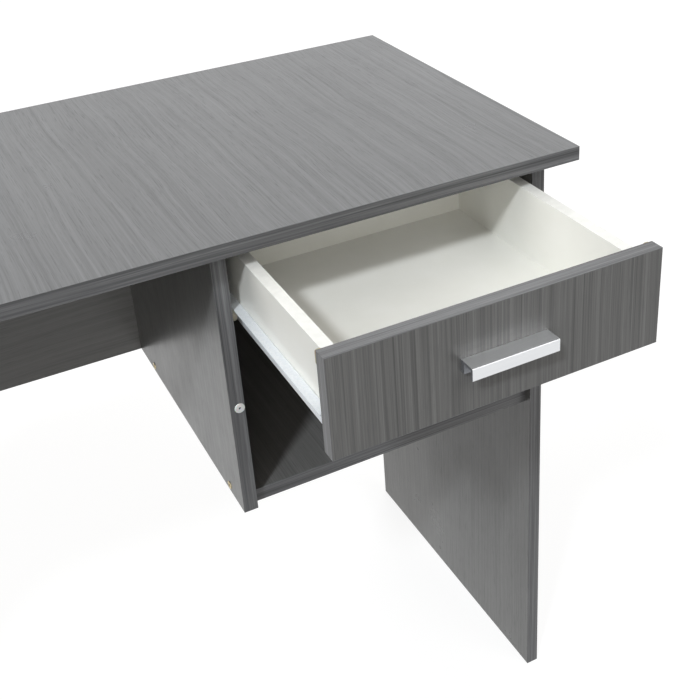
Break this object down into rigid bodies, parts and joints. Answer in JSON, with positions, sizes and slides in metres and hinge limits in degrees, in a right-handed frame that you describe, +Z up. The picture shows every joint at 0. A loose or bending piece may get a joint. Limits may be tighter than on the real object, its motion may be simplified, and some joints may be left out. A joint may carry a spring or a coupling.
{
  "type": "writing desk with drawer",
  "caption": "Panel-leg writing desk with a kneehole, a modesty panel and one inset drawer on roller slides above an open compartment at the right.",
  "frame": {"origin": "on the floor, at the centre of the bounding rectangle of the desk with its drawer pulled out 203 mm; the desktop's own centre is 96.5 mm behind it", "axes": "+Z up, +X to the right seen from the front, front towards -Y"},
  "size_m": [1.1, 0.643, 0.727],
  "materials": {
    "desk_board": "dark grey woodgrain melamine on particleboard",
    "edge_band": "dark grey woodgrain edge band",
    "white_board": "white melamine on particleboard",
    "white_band": "white edge band",
    "rail_steel": "white epoxy powder coat",
    "roller_nylon": "cream nylon",
    "zinc_steel": "bright zinc plate",
    "zinc_casting": "zinc die casting",
    "yellow_zinc": "yellow zinc plate",
    "beech": "fluted beech",
    "handle_aluminium": "satin anodised",
    "plug_plastic": "white moulded plastic",
    "buffer_rubber": "amber translucent rubber"
  },
  "bodies": {
    "desk": {"desktop": "desk_board", "desktop_edge_bands": "edge_band", "left_leg": "desk_board", "right_leg": "desk_board", "leg_edge_bands": "edge_band", "drawer_divider": "desk_board", "compartment_floor": "desk_board", "modesty_panel": "desk_board", "panel_edge_bands": "edge_band", "left_cabinet_rail": "rail_steel", "right_cabinet_rail": "rail_steel", "cabinet_roller_rivets": "zinc_steel", "cabinet_rail_screws": "zinc_steel", "cam_locks": "zinc_casting", "cam_bolts": "zinc_steel", "wood_dowels": "beech", "confirmat_screws": "yellow_zinc", "divider_plug": "plug_plastic"},
    "drawer": {"drawer_front": "desk_board", "drawer_front_edge_bands": "edge_band", "drawer_left_side": "white_board", "drawer_right_side": "white_board", "drawer_back": "white_board", "drawer_bottom": "white_board", "drawer_box_edge_bands": "white_band", "drawer_handle": "handle_aluminium", "handle_screws": "zinc_steel", "left_drawer_rail": "rail_steel", "right_drawer_rail": "rail_steel", "drawer_roller_rivets": "zinc_steel", "drawer_rail_screws": "zinc_steel", "drawer_cam_locks": "zinc_casting", "drawer_cam_bolts": "zinc_steel", "drawer_dowels": "beech", "drawer_back_screws": "zinc_steel", "drawer_front_buffers": "buffer_rubber"},
    "left_cabinet_roller": {"left_cabinet_roller": "roller_nylon"},
    "right_cabinet_roller": {"right_cabinet_roller": "roller_nylon"},
    "left_drawer_roller": {"left_drawer_roller": "roller_nylon"},
    "right_drawer_roller": {"right_drawer_roller": "roller_nylon"}
  },
  "joints": [
    {"name": "drawer_slide", "type": "slide", "parent": "desk", "child": "drawer", "axis": [0, -1, 0], "range_m": [-0.203, 0.022]},
    {"name": "left_cabinet_roller_spin", "type": "hinge", "parent": "desk", "child": "left_cabinet_roller", "pos_m": [0.1894, -0.0705, 0.627], "axis": [1, 0, 0], "continuous": true},
    {"name": "left_drawer_roller_spin", "type": "hinge", "parent": "drawer", "child": "left_drawer_roller", "pos_m": [0.1891, 0.0007, 0.6248], "axis": [1, 0, 0], "continuous": true},
    {"name": "right_cabinet_roller_spin", "type": "hinge", "parent": "desk", "child": "right_cabinet_roller", "pos_m": [0.5066, -0.0705, 0.627], "axis": [1, 0, 0], "continuous": true},
    {"name": "right_drawer_roller_spin", "type": "hinge", "parent": "drawer", "child": "right_drawer_roller", "pos_m": [0.5069, 0.0007, 0.6248], "axis": [1, 0, 0], "continuous": true}
  ],
  "couplings": [
    {"joint": "left_cabinet_roller_spin", "follows": "drawer_slide", "rad_per_m": 80},
    {"joint": "left_drawer_roller_spin", "follows": "drawer_slide", "rad_per_m": 80},
    {"joint": "right_cabinet_roller_spin", "follows": "drawer_slide", "rad_per_m": 80},
    {"joint": "right_drawer_roller_spin", "follows": "drawer_slide", "rad_per_m": 80}
  ]
}
